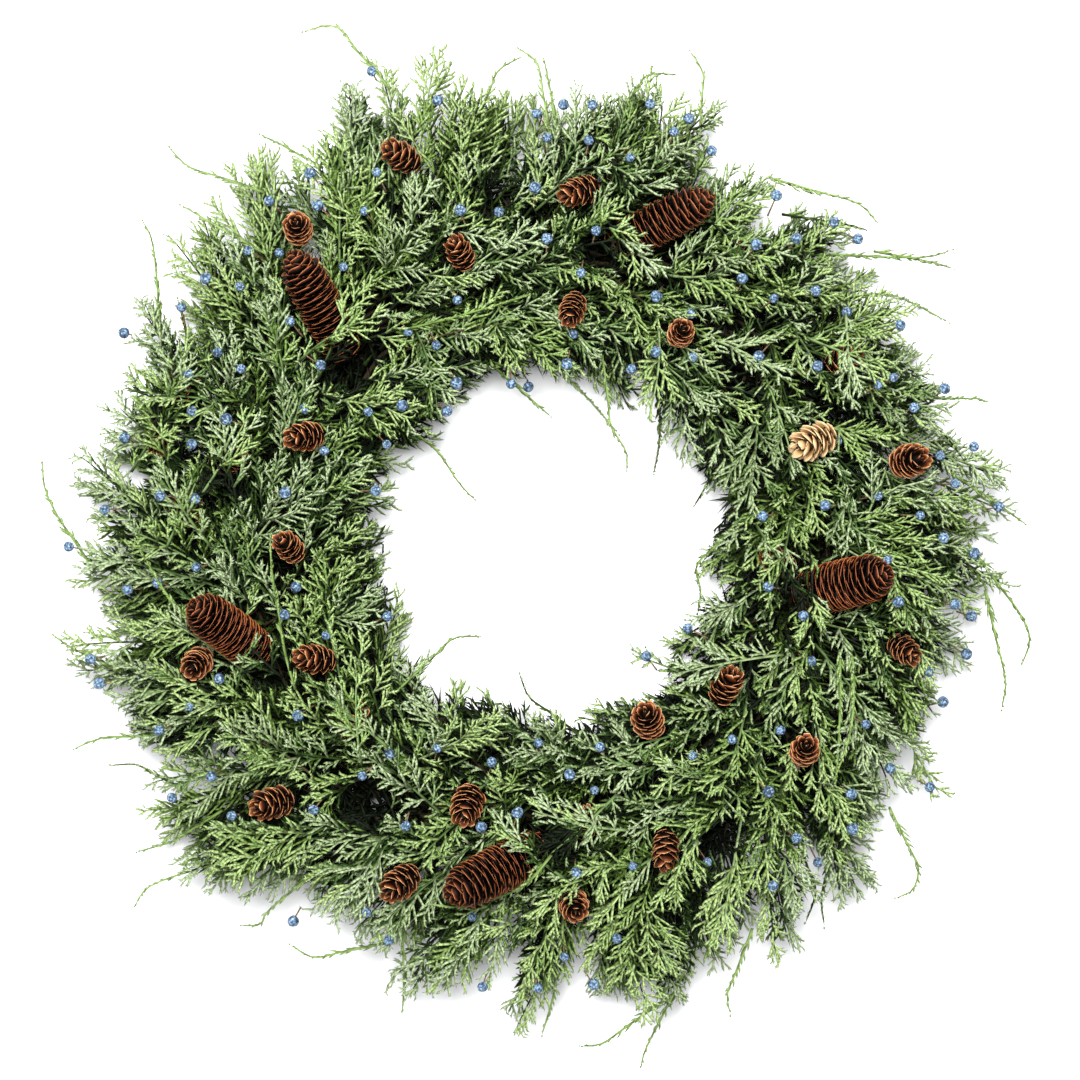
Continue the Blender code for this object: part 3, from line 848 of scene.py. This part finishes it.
def cone_mesh(rng, place, scales, crowding, outline, opening, wide, narrowing, blunt, thick, tips, uneven):
    """A core with thin overlapping scales set round it in a spiral; the core takes the map's darkest colour,
    painted shade.
    """
    length, width = place.length, place.width
    number = np.arange(scales)
    share = ((number + 0.5) / scales) ** crowding
    turn = number * GOLDEN_TURN + rng.uniform(0, 6)
    outer = width / 2 * np.interp(share, *zip(*outline)) * (1 + 0.025 * uneven * rng.uniform(-1, 1, scales))
    inner = outer * 0.28
    lean = np.radians(np.interp(share, *zip(*opening)) + rng.normal(0, 3.5 * uneven, scales))
    reach = np.minimum((outer - inner) / np.sin(np.maximum(lean, 0.2)), 0.42 * width)
    reach = np.minimum(reach, width * np.interp(share, (0.80, 1.0), tips))
    low = -0.5 * length + share * (length - (0.06 + tips[1]) * width) + 0.02 * width

    inner, reach, lean, low, turn = (v[:, None, None] for v in (inner, reach, lean, low, turn))
    t = np.linspace(0, 1, SCALE_ROWS + 1)[None, :, None]
    c = np.linspace(-1, 1, SCALE_COLUMNS + 1)[None, None, :]
    ends = 1 - blunt[0] * np.abs(c) ** blunt[1]  # the rounded end of a scale
    ragged = rng.normal(0, 0.03 * uneven, (scales, 1, SCALE_COLUMNS + 1))
    along = t * (ends + ragged * t**3)
    out = inner + reach * np.sin(lean) * along
    rise = reach * np.cos(lean) * along**1.5 + 0.05 * width * along**3
    rise = rise - 0.05 * width * c**2 * t  # cupped: the sides of a scale lie lower than its middle
    half_wide = wide * width / 2 * (0.45 + 0.55 * np.sin(np.minimum(t / 0.75, 1) * math.pi / 2))
    half_wide = half_wide * np.interp(share, (0, 0.6, 0.85, 1), (0.95, 1.0, *narrowing))[:, None, None]
    swing = turn + c * half_wide / np.maximum(out, 0.22 * width)
    swing = swing + rng.normal(0, 0.05 * uneven, (scales, 1, 1))
    upper = np.stack([out * np.cos(swing), out * np.sin(swing), low + rise + 0 * swing], axis=-1)
    body = (1 - np.abs(2 * t - 1) ** 4) * (1 - c**2) * thick * width
    under = upper.copy()
    under[..., 2] -= body

    rows, columns = SCALE_ROWS + 1, SCALE_COLUMNS + 1
    grid = np.arange(rows * columns).reshape(rows, columns)
    back = grid.copy()
    inside = np.zeros((rows, columns), bool)
    inside[1:-1, 1:-1] = True
    back[inside] = rows * columns + np.arange(inside.sum())
    block = np.concatenate(
        [upper.reshape(scales, -1, 3), under[:, inside].reshape(scales, -1, 3)], axis=1
    )
    pattern, pattern_uv = [], []
    for row in range(SCALE_ROWS):
        for column in range(SCALE_COLUMNS):
            quad = [(row, column), (row, column + 1), (row + 1, column + 1), (row + 1, column)]
            for side, order in ((grid, quad), (back, quad[::-1])):
                for k in (0, 1, 2, 0, 2, 3):
                    r, q = order[k]
                    pattern.append(side[r, q])
                    pattern_uv.append((q / SCALE_COLUMNS, r / SCALE_ROWS))
    pattern, pattern_uv = np.array(pattern), np.array(pattern_uv)
    size = block.shape[1]
    loops = (np.arange(scales) * size)[:, None] + pattern[None]
    square = np.stack([number % ATLAS, number // ATLAS % ATLAS], axis=1)
    uvs = (square[:, None] + 0.06 + 0.88 * pattern_uv[None]) / ATLAS
    corners, loops, uvs = block.reshape(-1, 3), loops.reshape(-1), uvs.reshape(-1, 2)

    # the core: a closed spindle, from its apex to its foot
    turn, stations = np.arange(CORE_SIDES) * 2 * math.pi / CORE_SIDES, np.linspace(1, 0, CORE_RINGS)[:, None]
    radius = width * 0.18 * np.interp(stations, (0, 0.15, 0.8, 1), (1, 1, 0.9, 0.3))
    high = (0.92 * stations - 0.5) * length + 0 * turn
    core = np.stack([radius * np.cos(turn), radius * np.sin(turn), high], axis=-1).reshape(-1, 3)
    core = np.concatenate([core, [(0, 0, 0.44 * length)], [(0, 0, -0.5 * length)]])
    core_loops, _ = turned_pattern(CORE_SIDES, CORE_RINGS + 1)
    # the core's corners sit early in the first square of the map, where the scales' finish has its
    # painted-shade colour
    spot = np.array(((0.01, 0.009), (0.03, 0.009), (0.02, 0.012)))
    loops = np.concatenate([loops, len(corners) + core_loops])
    corners = np.concatenate([corners, core])
    uvs = np.concatenate([uvs, np.tile(spot, (len(core_loops) // 3, 1))])

    axis = place.axis
    side = unit(np.cross(axis, UP if abs(axis[2]) < 0.9 else np.array((1.0, 0, 0))))
    other = np.cross(axis, side)
    corners = place.middle + corners @ np.array([side, other, axis])
    return triangle_mesh(place.node, corners, loops, uvs)


# ---- materials -----------------------------------------------------------------------------------


def srgb(red, green, blue):
    """A colour from its 0 to 255 values as seen on a screen."""
    return tuple(
        (v / 255) / 12.92 if v <= 10 else ((v / 255 + 0.055) / 1.055) ** 2.4 for v in (red, green, blue)
    )


class Finish:
    """A Principled material and short ways to add nodes to it."""

    def __init__(self, name):
        self.made = bpy.data.materials.new(name)
        self.made.use_nodes = True
        self.nodes, self.links = self.made.node_tree.nodes, self.made.node_tree.links
        self.shader = self.nodes["Principled BSDF"]

    def feed(self, socket, given):
        """Sets an input, or links it to another node's output."""
        if isinstance(given, bpy.types.NodeSocket):
            self.links.new(given, socket)
        elif given is not None:
            socket.default_value = given

    def add(self, kind, **inputs):
        node = self.nodes.new("ShaderNode" + kind)
        for name, given in inputs.items():
            self.feed(node.inputs[name], given)
        return node

    def uv(self):
        node = self.add("UVMap")
        node.uv_map = "OFBake"
        return node.outputs["UV"]

    def place(self):
        return self.add("TexCoord").outputs["Object"]

    def split(self, vector):
        parts = self.add("SeparateXYZ", Vector=vector).outputs
        return parts["X"], parts["Y"]

    def math(self, operation, value, other=None):
        node = self.add("Math")
        node.operation = operation
        for socket, given in zip(node.inputs, (value, other)):
            self.feed(socket, given)
        return node.outputs[0]

    def stretched(self, vector, scale):
        return self.add("Mapping", Vector=vector, Scale=scale).outputs["Vector"]

    def noise(self, vector, scale, detail=3.0, rough=0.55):
        inputs = dict(Vector=vector, Scale=scale, Detail=detail, Roughness=rough)
        return self.add("TexNoise", **inputs).outputs["Fac"]

    def cells(self, vector, scale):
        return self.add("TexVoronoi", Vector=vector, Scale=scale).outputs["Distance"]

    def ramp(self, value, *stops, linear=False):
        """A colour ramp of (position, grey) or (position, *colour): 0 to 255 as on a screen, or linear."""
        node = self.add("ValToRGB", Fac=value)
        elements = node.color_ramp.elements
        while len(elements) > 1:
            elements.remove(elements[-1])
        for number, (position, *colour) in enumerate(stops):
            element = elements[0] if number == 0 else elements.new(position)
            element.position = position
            if len(colour) == 1:
                colour = colour * 3
            elif not linear:
                colour = srgb(*colour)
            element.color = (*colour, 1.0)
        return node.outputs["Color"]

    def multiply(self, first, second):
        node = self.add("Mix")
        node.data_type, node.blend_type = "RGBA", "MULTIPLY"
        for name, given in (("Factor", 1.0), ("A", first), ("B", second)):
            self.feed(node.inputs[name], given)
        return node.outputs["Result"]

    def bump(self, height, strength, distance):
        normal = self.add("Bump", Height=height, Strength=strength, Distance=distance).outputs["Normal"]
        self.links.new(normal, self.shader.inputs["Normal"])

    def wear(self, colour, roughness, specular=None):
        self.feed(self.shader.inputs["Base Color"], colour)
        self.feed(self.shader.inputs["Roughness"], roughness)
        self.feed(self.shader.inputs["Specular IOR Level"], specular)


def juniper_material():
    """Scaly green cords: darker at the foot, lighter at the tip, banded by their scale leaves."""
    m = Finish("juniper")
    along, tone = m.split(m.uv())
    tones = m.ramp(
        tone,
        (0.00, 22, 17, 10),
        (0.09, 94, 80, 54),
        (0.12, 6, 13, 3),
        (0.24, 36, 58, 14),
        (0.34, 104, 130, 76),
        (0.43, 142, 160, 114),
        (0.53, 162, 180, 138),
        (0.56, 6, 13, 2),
        (0.68, 44, 64, 14),
        (0.79, 108, 135, 67),
        (0.89, 142, 166, 102),
        (1.00, 160, 182, 120),
    )
    fade = m.ramp(along, (0.0, 0.72), (0.4, 0.95), (1.0, 1.0))
    leaves = m.math("FRACT", m.math("MULTIPLY", along, 5.0))
    bands = m.ramp(leaves, (0.0, 0.42), (0.35, 1.0), (0.8, 1.0), (1.0, 0.62))
    colour = m.multiply(m.multiply(tones, fade), bands)
    rough = m.ramp(tone, (0.0, 0.8), (0.12, 0.66), (0.53, 0.56), (0.56, 0.62), (1.0, 0.50))
    m.wear(colour, rough, 0.14)
    m.bump(leaves, 0.5, 0.0004)
    return m.made


def cone_material(name, worn, starts, *colours):
    """Woody scales: painted shade at the foot, where they lie under the next scales, fibres along them, a
    pale worn lip.
    """
    m = Finish(name)
    atlas = m.uv()
    _, along = m.split(m.stretched(atlas, (ATLAS, ATLAS, 1)))
    along = m.math("FRACT", along)
    fibres = m.noise(m.stretched(atlas, (ATLAS * 14, ATLAS * 1.6, 1)), 1.0, 4.0, 0.6)
    patches = m.noise(atlas, 26.0, 3.0, 0.6)
    place = m.math("ADD", along, m.math("MULTIPLY", m.math("SUBTRACT", patches, 0.5), worn))
    # the first colour, up to the first start, is painted shade on the scales' hidden feet and on the core
    colour = m.ramp(place, *((start, *colour) for start, colour in zip(starts, colours)))
    streaks = m.ramp(fibres, (0.3, 0.62), (0.5, 0.95), (0.7, 1.0))
    colour = m.multiply(colour, streaks)
    rough = m.ramp(fibres, (0.2, 0.46), (0.8, 0.74))
    m.wear(colour, rough, 0.12)
    m.bump(fibres, 0.6, 0.0005)
    return m.made


def berry_material():
    """Blue-black skin under a whitish bloom that is rubbed off in spots."""
    m = Finish("berry")
    atlas = m.uv()
    bloom = m.noise(m.stretched(atlas, (1.6, 1, 1)), 34.0, 4.0, 0.65)
    spots = m.cells(m.stretched(atlas, (1.6, 1, 1)), 30.0)
    cover = m.math("ADD", bloom, m.math("MULTIPLY", spots, -0.55))
    colour = m.ramp(
        cover,
        (0.08, 36, 48, 64),
        (0.22, 72, 96, 120),
        (0.36, 116, 142, 170),
        (0.54, 176, 192, 208),
    )
    rough = m.ramp(bloom, (0.3, 0.45), (0.6, 0.8))
    m.wear(colour, rough, 0.3)
    m.bump(spots, 0.35, 0.0006)
    return m.made


def twig_material():
    """Thin bark, grey-brown with lighter flecks."""
    m = Finish("twig")
    grain = m.noise(m.uv(), 40.0, 4.0, 0.6)
    colour = m.ramp(grain, (0.3, 64, 44, 32), (0.55, 110, 82, 58), (0.75, 150, 122, 92))
    m.wear(colour, m.ramp(grain, (0.3, 0.6), (0.7, 0.85)))
    m.bump(grain, 0.5, 0.0004)
    return m.made


def wire_material(name, low, high, metallic, scale):
    """Painted or plain wire with scuffs."""
    m = Finish(name)
    scuffs = m.noise(m.place(), scale, 5.0, 0.65)
    m.wear(m.ramp(scuffs, (0.35, *low), (0.6, *high)), m.ramp(scuffs, (0.3, 0.35), (0.7, 0.62)))
    m.bump(scuffs, 0.25, 0.0003)
    m.shader.inputs["Metallic"].default_value = metallic
    return m.made


def tape_material():
    """Crepe florist's tape, wound round the cone's wire in creases, with painted shade in them."""
    m = Finish("floral_tape")
    place = m.place()
    wave = m.add("TexWave", Vector=place, Scale=260.0, Distortion=2.5)
    wave.bands_direction = "DIAGONAL"
    creases = wave.outputs["Fac"]
    mottle = m.noise(place, 420.0, 4.0, 0.6)
    paper = m.ramp(mottle, (0.3, 96, 70, 66), (0.7, 138, 108, 104))
    # the creases' darker colour is painted shade; their bump is real
    colour = m.multiply(paper, m.ramp(creases, (0.0, 0.7), (0.6, 1.0)))
    m.wear(colour, m.ramp(mottle, (0.3, 0.55), (0.7, 0.75)))
    m.bump(creases, 0.6, 0.0005)
    return m.made


# ---- build ---------------------------------------------------------------------------------------


def add_piece(name, mesh, finish, slot, *nodes):
    piece = bpy.data.objects.new(name, mesh)
    bpy.context.scene.collection.objects.link(piece)
    mesh.materials.append(finish)
    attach(piece, "root")
    if nodes:
        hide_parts(*nodes)
    return piece


def foliage():
    """The bunches' sprays, the leading shoots, the berries and their stalks."""
    green = juniper_material()
    seeds = range(SEEDS["bunch"], SEEDS["bunch"] + BUNCHES)
    bunches = [bunch(index, np.random.default_rng(seed)) for index, seed in enumerate(seeds)]
    found = np.concatenate([strands.points() for strands in bunches])
    depth = Depth(found)
    for index, strands in enumerate(bunches):
        name = f"bunch_{index + 1:02d}"
        add_piece(f"juniper_{index + 1:02d}", strands.mesh(name, depth), green, "juniper", name)

    rng = np.random.default_rng(SEEDS["rest"])
    canopy = Canopy(found)
    leaders = Strands()
    for places in WISPS:
        leader(rng, leaders, edge_leader(rng, places), EDGE_LEADER_GAP)
    for _ in range(CROWN_LEADERS):
        leader(rng, leaders, crown_leader(rng, canopy), CROWN_LEADER_GAP)
    edge_sprigs(rng, leaders, canopy)
    add_piece("leading_shoots", leaders.mesh("leading_shoots", depth), green, "juniper")

    found = np.concatenate([found, leaders.points()])
    canopy = Canopy(found)
    places = berry_places(rng, canopy)
    stalks = Strands()
    berry_stalks(rng, stalks, places, found)
    add_piece("berries", berry_mesh(rng, places), berry_material(), "berry")
    add_piece("berry_stalks", stalks.mesh("berry_stalks"), twig_material(), "twig")


def cones():
    """The large and small cones, scale by scale."""
    # the first colour of each cone finish is painted shade for the scales' feet and the core
    red = cone_material(
        "large_cone", 0.06, (0.63, 0.83, 0.90, 0.945),
        (4, 2, 1), (27, 9, 3), (106, 47, 22), (216, 138, 84),
    )  # fmt: skip
    brown = cone_material(
        "small_cone", 0.12, (0.54, 0.76, 0.88, 0.94),
        (6, 3, 1), (60, 25, 9), (134, 70, 32), (238, 190, 136),
    )  # fmt: skip
    pale = cone_material(
        "pale_cone", 0.16, (0.30, 0.55, 0.84, 0.96),
        (54, 34, 18), (160, 122, 78), (206, 172, 126), (236, 214, 172),
    )  # fmt: skip
    for number, place in enumerate(LARGE):
        rng = np.random.default_rng(SEEDS["large_cone"] + number)
        add_piece(f"{place.node}_scales", cone_mesh(rng, place, **LARGE_KIND), red, "large_cone", place.node)
    for number, place in enumerate(SMALL):
        rng = np.random.default_rng(SEEDS["small_cone"] + number)
        is_pale = place.node == PALE_CONE
        finish, slot = (pale, "pale_cone") if is_pale else (brown, "small_cone")
        add_piece(f"{place.node}_scales", cone_mesh(rng, place, **SMALL_KIND), finish, slot, place.node)


def kept_nodes():
    """Better finishes for the parts of the model that stay as they are."""
    finishes = {
        "ring_frame": wire_material("frame_wire", (48, 50, 46), (96, 98, 92), 0.8, 300.0),
        "binding_wire": wire_material("binding_wire", (30, 48, 32), (60, 84, 58), 0.3, 500.0),
        "cone_stem": tape_material(),
    }
    for node, finish in finishes.items():
        for material_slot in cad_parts[node].material_slots:
            material_slot.material = finish


def studio():
    """A pale floor, a soft key light from the top of the picture and a bright, even surround."""
    bpy.ops.mesh.primitive_plane_add(size=8, location=(0, 0, 0))
    floor = bpy.context.object
    floor.name = "floor"
    m = Finish("floor")
    grain = m.noise(m.place(), 60.0, 2.0)
    pale = m.ramp(grain, (0.0, 0.845, 0.85, 0.86), (1.0, 0.855, 0.86, 0.87), linear=True)
    m.wear(pale, m.ramp(grain, (0.0, 0.75), (1.0, 0.85)), 0.1)
    m.bump(grain, 0.05, 0.0002)
    floor.data.materials.append(m.made)

    world = bpy.data.worlds.new("surround")
    bpy.context.scene.world = world
    world.use_nodes = True
    world.node_tree.nodes["Background"].inputs["Color"].default_value = (1, 1, 1, 1)
    world.node_tree.nodes["Background"].inputs["Strength"].default_value = SURROUND

    place = Vector(SOFTBOX_PLACE)
    light = bpy.data.lights.new("softbox", "AREA")
    light.shape, light.size, light.energy = "SQUARE", SOFTBOX_SIZE, SOFTBOX_WATTS
    lamp = bpy.data.objects.new("softbox", light)
    bpy.context.scene.collection.objects.link(lamp)
    lamp.location = place
    lamp.rotation_euler = (-place).to_track_quat("-Z", "Y").to_euler()


def camera():
    """Straight above the wreath, with a long lens."""
    distance, width, middle = 2.4, 0.648, 0.05  # width: what the picture shows at the middle's height
    lens = bpy.data.cameras.new("camera")
    lens.sensor_width = 36
    lens.lens = lens.sensor_width * (distance - middle) / width
    eye = bpy.data.objects.new("camera", lens)
    bpy.context.scene.collection.objects.link(eye)
    eye.location = (-0.003, 0.003, distance)
    bpy.context.scene.camera = eye
    bpy.context.scene.view_settings.view_transform = "Standard"


camera()
studio()
cones()
foliage()
kept_nodes()
